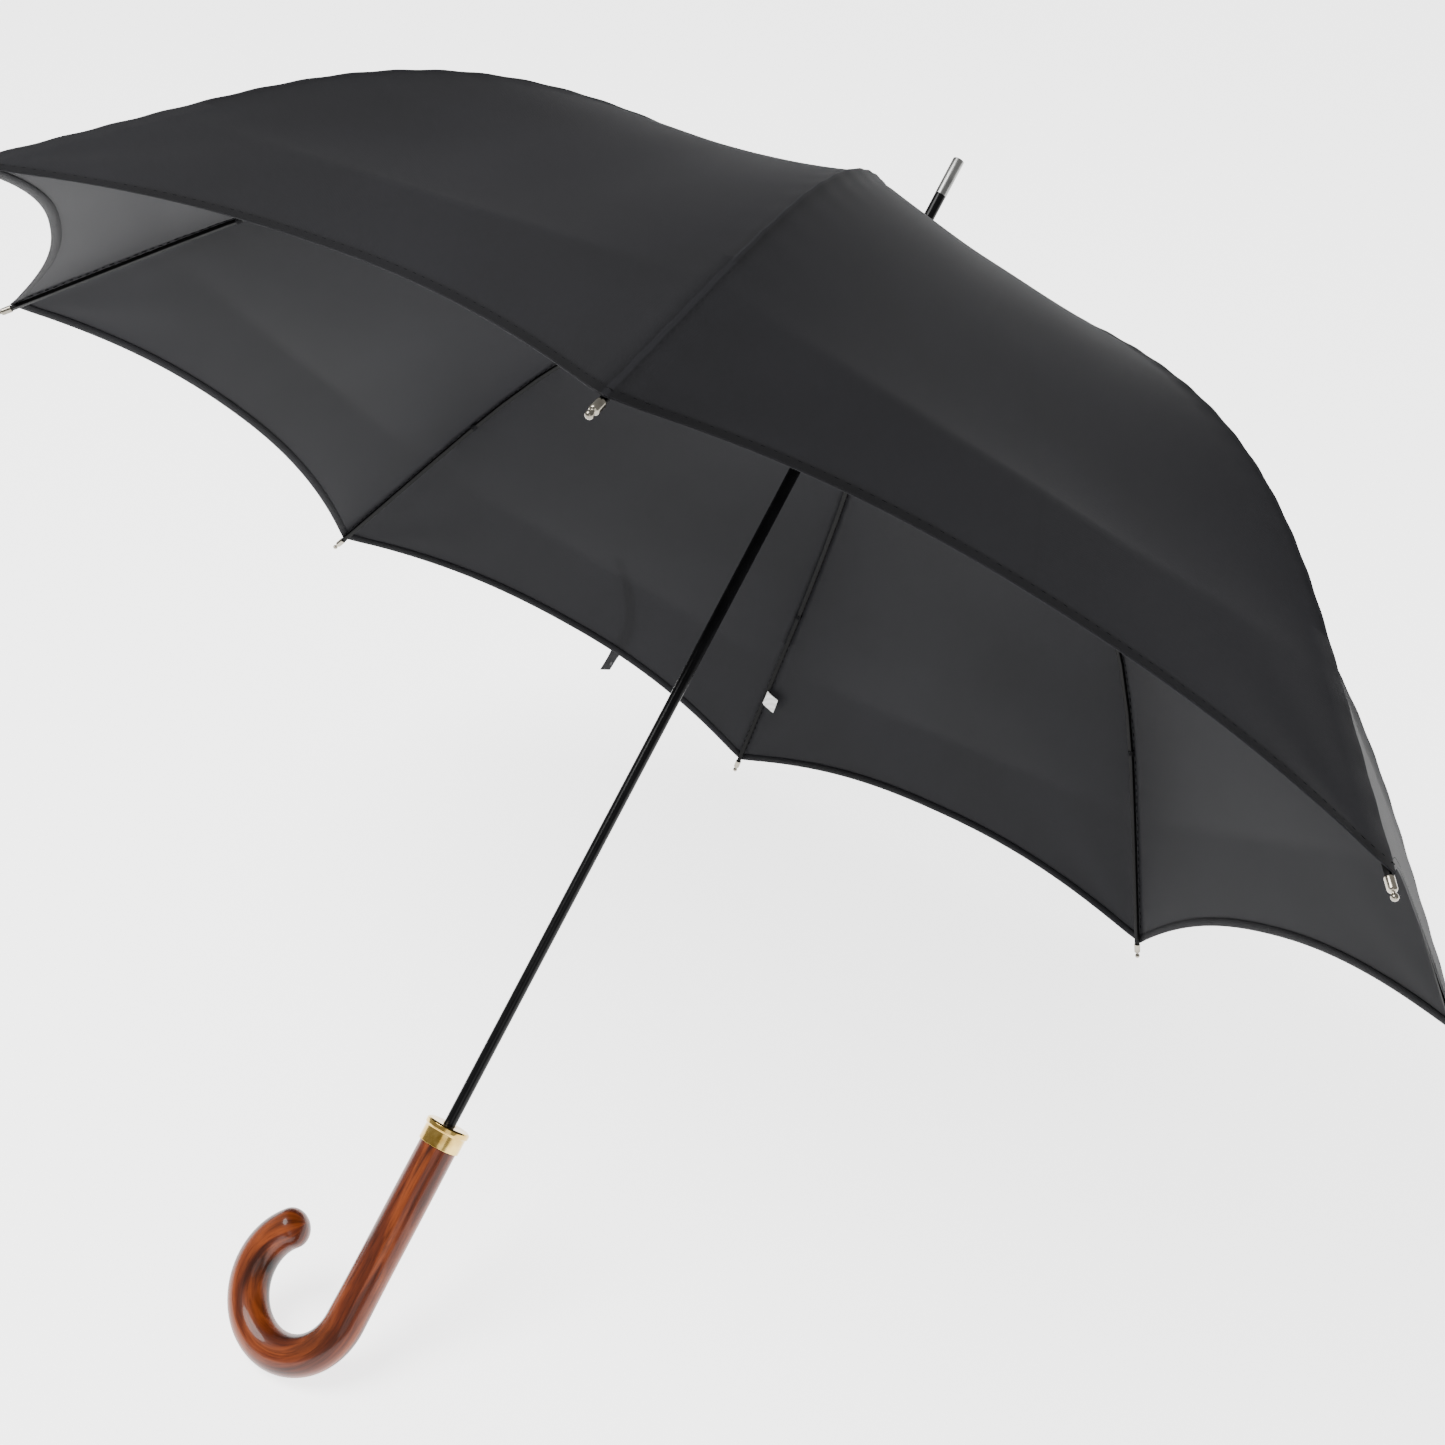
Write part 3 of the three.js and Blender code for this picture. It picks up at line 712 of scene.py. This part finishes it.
def lathe(name, profile, material, turn=Matrix.Identity(3), shift=Vector(), sides=48):
    """A closed turned piece from (radius, height) points, each edge kept crisp or rounded by its
    own short step, in umbrella millimetres about its own axis, then turned and shifted."""
    grid = []
    for radius, height in profile:
        grid.append([turn @ Vector((radius * math.cos(a), radius * math.sin(a), height)) + shift
                     for a in (2 * math.pi * j / sides for j in range(sides))])
    piece = new_piece(name, material)
    sheet_mesh(piece, grid, closed=True)
    shape = bmesh.new()
    shape.from_mesh(piece.data)
    bmesh.ops.remove_doubles(shape, verts=shape.verts, dist=0.000002)
    bmesh.ops.holes_fill(shape, edges=[e for e in shape.edges if e.is_boundary], sides=0)
    bmesh.ops.recalc_face_normals(shape, faces=shape.faces)
    shape.to_mesh(piece.data)
    shape.free()
    piece.data.set_sharp_from_angle(angle=math.radians(35))
    return piece


def ride_frame(piece, node):
    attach(piece, "frame")
    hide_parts(node)


def rounded(points, radius=0.3, steps=4):
    """A profile with its inner corners rounded off by short arcs."""
    result = [points[0]]
    for before, corner, after in zip(points, points[1:], points[2:]):
        a, b, c = Vector(before), Vector(corner), Vector(after)
        reach = min(radius, (a - b).length / 2.1, (c - b).length / 2.1)
        start, end = b + (a - b).normalized() * reach, b + (c - b).normalized() * reach
        for i in range(steps + 1):
            t = i / steps
            result.append(tuple((1 - t) ** 2 * start + 2 * t * (1 - t) * b + t ** 2 * end))
    return result + [points[-1]]


brass = metal("polished brass", "#D9BA6E", "#A5823A", 0.17)
bore = SHAFT_RADIUS + 0.15
low, high = along_shaft("collar")
ride_frame(lathe("collar_brass", rounded([
    (bore, low), (COLLAR_RADIUS, low), (COLLAR_RADIUS, high - 4.6), (COLLAR_RADIUS + 0.3, high - 4.0),
    (COLLAR_RIM, high - 3.4), (COLLAR_RIM, high - 0.9), (COLLAR_RIM - 1.2, high), (bore + 0.8, high),
    (bore, high - 0.7), (bore, low)], 0.25), brass, sides=72), "collar")


# ---- Shaft ----
# One straight steel tube from inside the handle up through the crown, stoved with black enamel.
enamel = metal("black stoving enamel on steel", "#0A0A0B", "#060607", 0.22, metallic=0.0, specular=0.14)
low, high = along_shaft("shaft")
ride_frame(lathe("shaft_steel", [(0, low), (SHAFT_RADIUS, low), (SHAFT_RADIUS, high), (0, high)],
                 enamel, sides=40), "shaft")


# ---- Spike tube ----
# A grey nickel-plated tube that finishes the shaft above the canopy. It has a turned-in lip and a
# shallow flat end.
tube_steel = metal("grey nickel on steel tube", "#8B8B89", "#6E6E6D", 0.3)
high = along_shaft("spike_ferrule")[1]
tube_low = along_shaft("shaft")[1] + 0.05
ride_frame(lathe("spike_tube", rounded([
    (0, tube_low), (SHAFT_RADIUS + 0.1, tube_low), (SHAFT_RADIUS + 0.1, high), (SHAFT_RADIUS - 0.5, high),
    (SHAFT_RADIUS - 0.8, high - 0.8), (0, high - 0.8)], 0.3), tube_steel), "spike_ferrule")


# ---- Top cap ----
# A small moulded collar round the shaft where it leaves the cloth. It presses the gathered cloth
# down on the crown.
nylon = metal("moulded black nylon", "#1E1E1F", "#161617", 0.45, metallic=0.0)
low, high = along_shaft("top_cap")
ride_frame(lathe("top_cap_nylon", rounded([
    (SHAFT_RADIUS, low + 0.6), (6.2, low), (6.4, low + 1.2), (4.6, high - 0.5), (SHAFT_RADIUS, high)],
    0.5), nylon), "top_cap")


# ---- Rib tips ----
# Eight nickel-plated cups, each with a neck and a ball. They close the rib ends and hold the
# corners of the cloth.
CUP = 12
BALL = 1.85
nickel = metal("bright nickel plate", "#A39D90", "#6E6A61", 0.2)
tip_profile = rounded([
    (0, 6.2), (2.05, 6.2), (2.05, 0.3), (2.25, 0.3), (2.35, 0.8), (2.3, 6.4), (1.9, 7.3), (1.0, 7.8),
    (0.9, CUP - BALL * 1.8)], 0.3) + [
    (BALL * math.cos(a), CUP - BALL + BALL * math.sin(a)) for a in
    (math.radians(-60 + 150 * i / 16) for i in range(17))]
tip_x, tip_z = beside_rib(RIB_LENGTH, 0)
for k in range(1, RIBS + 1):
    spin = Matrix.Rotation((k - 0.5) * SECTOR, 3, "Z")
    tilt = Matrix.Rotation(TIP_SLOPE + math.pi / 2, 3, "Y")
    tip = lathe(f"rib_tip_nickel_{k}", tip_profile, nickel, spin @ tilt, spin @ Vector((tip_x, 0, tip_z)), 32)
    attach(tip, f"rib_{k}")
    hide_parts(f"rib_tip_{k}")


# ---- Ribs, stretchers, crown and runner ----
# The frame's working pieces: black enamelled steel channels hinged on a wire at the crown, nickel
# rivets, a moulded crown and a moulded runner ring pressed on a nickel tube that slides on the
# shaft, and two nickel spring catches in the shaft. Each keeps its CAD shape with softened edges.
lacquer = metal("black dipped lacquer on steel", "#080808", "#050505", 0.5, metallic=0.0, specular=0.1)
FINISHES = {"rib_rivet": nickel, "rib": lacquer, "stretcher": lacquer, "crown_wire": nickel, "crown": nylon,
            "runner_ring": nylon, "runner_tube": nickel, "top_catch": nickel, "bottom_catch": nickel}
EDGE_RADIUS = 0.12


def soften(node, name, finish, body):
    """A welded copy of a CAD node with its sharp edges rounded a little and its curves shaded smooth."""
    piece = new_piece(f"{name}_finished", finish)
    shape = bmesh.new()
    shape.from_mesh(node.data)
    bmesh.ops.remove_doubles(shape, verts=shape.verts, dist=0.000002)
    bmesh.ops.dissolve_limit(shape, angle_limit=math.radians(0.5), verts=shape.verts, edges=shape.edges)
    bmesh.ops.triangulate(shape, faces=shape.faces)
    shape.to_mesh(piece.data)
    shape.free()
    piece.data.polygons.foreach_set("use_smooth", [True] * len(piece.data.polygons))
    edge = piece.modifiers.new("softened edges", "BEVEL")
    edge.width = EDGE_RADIUS * MM
    edge.segments = 2
    edge.limit_method = "ANGLE"
    edge.angle_limit = math.radians(40)
    apply_modifiers(piece)
    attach(piece, body)
    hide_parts(name)


for name, node in list(frame["nodes"].items()):
    kind, number = name.rstrip("_12345678"), name[-1]
    if kind not in FINISHES:
        continue
    body = {"rib_rivet": "rib", "runner_ring": "runner", "runner_tube": "runner", "crown": "frame",
            "crown_wire": "frame"}.get(kind, kind)
    soften(node, name, FINISHES[kind], f"{body}_{number}" if number.isdigit() else body)


# ---- Tie strap ----
# A band of the canopy's own cloth, sewn double, tacked to the outside of a gore near its hem; its
# free end hangs past the hem and carries a small press stud. It is wound round the shut umbrella.
STRAP_WIDTH = 10
STRAP_START = 0.80 * RIB_LENGTH
STRAP_SIDE = -0.26
STRAP_SWING = 0.25
STRAP_FREE = 24
STRAP_TWIST = math.radians(-40)
STRAP_GORE = 1


def strap_point(t, side, lift):
    """t from 0 to 1 down the strap, side from -1 to 1 across it."""
    end = hem_at(STRAP_SIDE) + STRAP_FREE
    s = STRAP_START + t * (end - STRAP_START)
    width = beside_rib(s, 0)[0] * math.sin(SECTOR / 2)
    free = min(max((s - end + 1.5 * STRAP_FREE) / STRAP_FREE, 0), 1)
    twist = STRAP_TWIST * free * free * (3 - 2 * free)
    swing = STRAP_SWING * (1 - min(t / 0.6, 1)) ** 1.6
    u = STRAP_SIDE + swing + side * STRAP_WIDTH / 2 / width * math.cos(twist)
    rise = 1.3 + 1.2 * math.sin(math.pi * t) + (side - 1) * STRAP_WIDTH / 2 * math.sin(twist)
    return cloth_point(STRAP_GORE, u, s, CLOTH_LIFT + rise + lift)


strap = new_piece("tie_strap_band", cloth)
rows, sides = 60, 12
sheet_mesh(strap, [[strap_point(i / rows, 2 * j / sides - 1, 0) for j in range(sides + 1)]
                   for i in range(rows + 1)])
add_weave_uv(strap, [[j * STRAP_WIDTH / sides for j in range(sides + 1)]] * (rows + 1),
             [[i * 2.0] * (sides + 1) for i in range(rows + 1)])
band = strap.modifiers.new("double cloth", "SOLIDIFY")
band.thickness = 0.7 * MM
band.offset = 0
apply_modifiers(strap)
fold_with_rib(strap, 1)
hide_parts("tie_strap")
stud = lathe("strap_stud", rounded([(0, 0), (2.6, 0), (2.6, 0.9), (1.5, 1.5), (0, 1.6)], 0.3), nylon,
             Matrix.Rotation(STRAP_GORE * SECTOR, 3, "Z") @ Matrix.Rotation(TIP_SLOPE, 3, "Y"),
             strap_point(0.93, 0, 0.35), 20)
fold_with_rib(stud, 1)
box = [(-1, 0.012), (1, 0.012), (1, 0.075), (-1, 0.075), (-1, 0.012), (1, 0.075)]
corners = [strap_point(t, 0.8 * side, 0.45) for side, t in box]
sides_of_box = [[a.lerp(b, i / 6) for i in range(7)] for a, b in zip(corners, corners[1:])]
tack = sew("strap_bar_tack", sides_of_box, spacing=2.2, length=1.7, thickness=0.6)
fold_with_rib(tack, 1)


# ---- Care label ----
# A white woven nylon tape, folded in half and caught in the seam on the inside by the first rib.
LABEL_PLACE = 0.877 * RIB_LENGTH
LABEL_SIZE = 13


def label_material():
    """White woven tape: fine ribs across, soft; nothing is printed on it."""
    material, tree, output = new_material("white woven tape")
    coords = add_node(tree, "ShaderNodeTexCoord")
    ribs = add_node(tree, "ShaderNodeTexWave", links={"Vector": (coords, "Object")},
                    Scale=380, Distortion=0.4)
    tint = add_node(tree, "ShaderNodeValToRGB", links={"Fac": (ribs, 0)})
    set_stops(tint, [(0.1, "#E2E2DF"), (0.8, "#F6F6F4")])
    bump = add_node(tree, "ShaderNodeBump", links={"Height": (ribs, 0)}, Strength=0.25, Distance=0.0002)
    shader = add_node(tree, "ShaderNodeBsdfPrincipled", links={"Base Color": (tint, 0), "Normal": (bump, 0)},
                      Roughness=0.75, Sheen_Weight=0.2)
    tree.links.new(shader.outputs[0], output.inputs[0])
    return material


def label_point(t, side):
    """Down one leaf of the folded tape, round the fold and up the other; side runs across."""
    half = math.pi * t
    drop = LABEL_SIZE * (1 - abs(2 * t - 1))
    curl = 1.1 * math.cos(half) + 1.6 * math.sin(half) * (0.6 + 0.4 * side)
    s = LABEL_PLACE + side * LABEL_SIZE / 2
    x, z = beside_rib(s, -2.6 - 0.35 * drop - curl * 0.6)
    return (x, -0.6 - drop * 0.85 - curl * 0.4, z)


label = new_piece("care_label_tape", label_material())
rows, sides = 28, 14
sheet_mesh(label, [turned_about_shaft([label_point(i / rows, 2 * j / sides - 1) for j in range(sides + 1)], 1)
                   for i in range(rows + 1)])
tape = label.modifiers.new("tape", "SOLIDIFY")
tape.thickness = 0.22 * MM
tape.offset = 0
apply_modifiers(label)
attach(label, "rib_1")
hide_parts("care_label")
